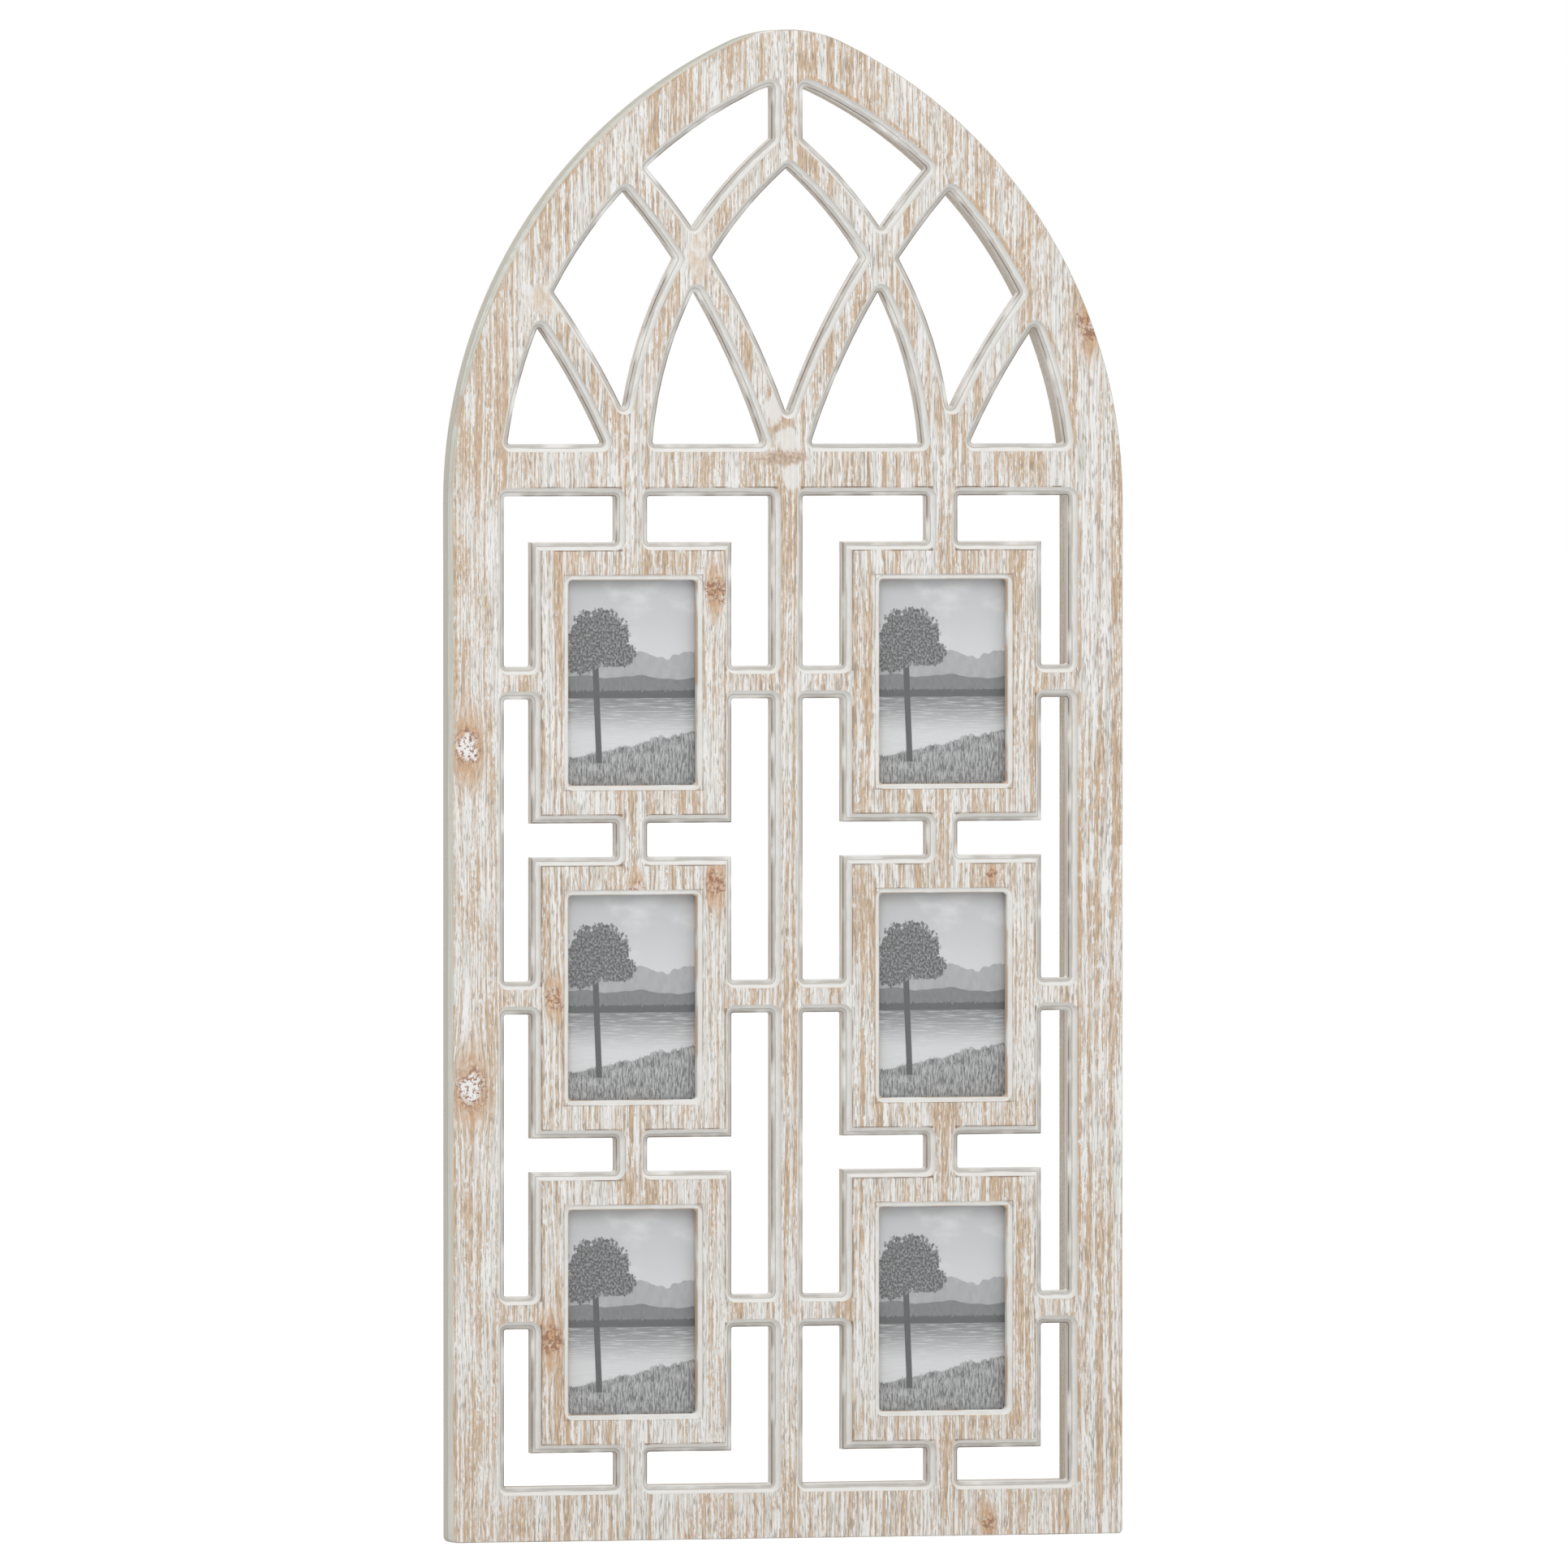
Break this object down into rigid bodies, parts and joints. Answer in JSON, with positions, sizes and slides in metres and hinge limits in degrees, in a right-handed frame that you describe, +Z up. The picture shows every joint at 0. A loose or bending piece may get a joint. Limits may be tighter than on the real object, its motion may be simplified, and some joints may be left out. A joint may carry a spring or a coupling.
{
  "type": "collage photo frame",
  "caption": "Arched, window-shaped wooden collage frame with open tracery, routed edges and small upright photo openings behind glass.",
  "frame": {"origin": "midway between the two keyhole entries, on the plane of the wall", "axes": "+Z up the height of the frame, +Y out of the back into the wall, +X to the right as seen from the front"},
  "size_m": [0.48, 0.027, 1.0416],
  "materials": {
    "board": "whitewashed, wire-brushed, upright grain",
    "rear_frame": "washed off-white paint, matt",
    "pin": "plain",
    "glass": "clear, flat",
    "backing": "smooth hardboard",
    "turn_button": "zinc plated",
    "screw": "zinc plated",
    "keyhole_plate": "zinc plated",
    "print_top_left": "glossy paper with a grey landscape",
    "print_top_right": "glossy paper with a grey landscape",
    "print_middle_left": "glossy paper with a grey landscape",
    "print_middle_right": "glossy paper with a grey landscape",
    "print_bottom_left": "glossy paper with a grey landscape",
    "print_bottom_right": "glossy paper with a grey landscape"
  },
  "bodies": {
    "frame": {"board_strip_1": "board", "board_strip_2": "board", "board_strip_3": "board", "board_strip_4": "board", "board_strip_5": "board", "board_strip_6": "board", "board_strip_7": "board", "board_strip_8": "board", "board_strip_9": "board", "rear_upright_left": "rear_frame", "rear_upright_right": "rear_frame", "rear_bottom_rail": "rear_frame", "rear_arch_left": "rear_frame", "rear_arch_right": "rear_frame", "frame_pins": "pin", "glass_top_left": "glass", "print_top_left": "print_top_left", "backing_top_left": "backing", "glass_top_right": "glass", "print_top_right": "print_top_right", "backing_top_right": "backing", "glass_middle_left": "glass", "print_middle_left": "print_middle_left", "backing_middle_left": "backing", "glass_middle_right": "glass", "print_middle_right": "print_middle_right", "backing_middle_right": "backing", "glass_bottom_left": "glass", "print_bottom_left": "print_bottom_left", "backing_bottom_left": "backing", "glass_bottom_right": "glass", "print_bottom_right": "print_bottom_right", "backing_bottom_right": "backing", "turn_button_screws": "screw", "keyhole_plate_left": "keyhole_plate", "keyhole_plate_right": "keyhole_plate", "keyhole_plate_screws": "screw"},
    "top_left_button_a": {"turn_top_left_button_a": "turn_button"},
    "top_left_button_b": {"turn_top_left_button_b": "turn_button"},
    "top_right_button_a": {"turn_top_right_button_a": "turn_button"},
    "top_right_button_b": {"turn_top_right_button_b": "turn_button"},
    "middle_left_button_a": {"turn_middle_left_button_a": "turn_button"},
    "middle_left_button_b": {"turn_middle_left_button_b": "turn_button"},
    "middle_right_button_a": {"turn_middle_right_button_a": "turn_button"},
    "middle_right_button_b": {"turn_middle_right_button_b": "turn_button"},
    "bottom_left_button_a": {"turn_bottom_left_button_a": "turn_button"},
    "bottom_left_button_b": {"turn_bottom_left_button_b": "turn_button"},
    "bottom_right_button_a": {"turn_bottom_right_button_a": "turn_button"},
    "bottom_right_button_b": {"turn_bottom_right_button_b": "turn_button"}
  },
  "joints": [
    {"name": "top_left_button_a_turn", "type": "hinge", "parent": "frame", "child": "top_left_button_a", "pos_m": [-0.1712, -0.013, -0.0686], "axis": [0, 1, 0], "continuous": true},
    {"name": "top_left_button_b_turn", "type": "hinge", "parent": "frame", "child": "top_left_button_b", "pos_m": [-0.0512, -0.013, -0.0686], "axis": [0, 1, 0], "continuous": true},
    {"name": "top_right_button_a_turn", "type": "hinge", "parent": "frame", "child": "top_right_button_a", "pos_m": [0.0512, -0.013, -0.0686], "axis": [0, 1, 0], "continuous": true},
    {"name": "top_right_button_b_turn", "type": "hinge", "parent": "frame", "child": "top_right_button_b", "pos_m": [0.1712, -0.013, -0.0686], "axis": [0, 1, 0], "continuous": true},
    {"name": "middle_left_button_a_turn", "type": "hinge", "parent": "frame", "child": "middle_left_button_a", "pos_m": [-0.1712, -0.013, -0.2855], "axis": [0, 1, 0], "continuous": true},
    {"name": "middle_left_button_b_turn", "type": "hinge", "parent": "frame", "child": "middle_left_button_b", "pos_m": [-0.0512, -0.013, -0.2855], "axis": [0, 1, 0], "continuous": true},
    {"name": "middle_right_button_a_turn", "type": "hinge", "parent": "frame", "child": "middle_right_button_a", "pos_m": [0.0512, -0.013, -0.2855], "axis": [0, 1, 0], "continuous": true},
    {"name": "middle_right_button_b_turn", "type": "hinge", "parent": "frame", "child": "middle_right_button_b", "pos_m": [0.1712, -0.013, -0.2855], "axis": [0, 1, 0], "continuous": true},
    {"name": "bottom_left_button_a_turn", "type": "hinge", "parent": "frame", "child": "bottom_left_button_a", "pos_m": [-0.1712, -0.013, -0.5024], "axis": [0, 1, 0], "continuous": true},
    {"name": "bottom_left_button_b_turn", "type": "hinge", "parent": "frame", "child": "bottom_left_button_b", "pos_m": [-0.0512, -0.013, -0.5024], "axis": [0, 1, 0], "continuous": true},
    {"name": "bottom_right_button_a_turn", "type": "hinge", "parent": "frame", "child": "bottom_right_button_a", "pos_m": [0.0512, -0.013, -0.5024], "axis": [0, 1, 0], "continuous": true},
    {"name": "bottom_right_button_b_turn", "type": "hinge", "parent": "frame", "child": "bottom_right_button_b", "pos_m": [0.1712, -0.013, -0.5024], "axis": [0, 1, 0], "continuous": true}
  ]
}
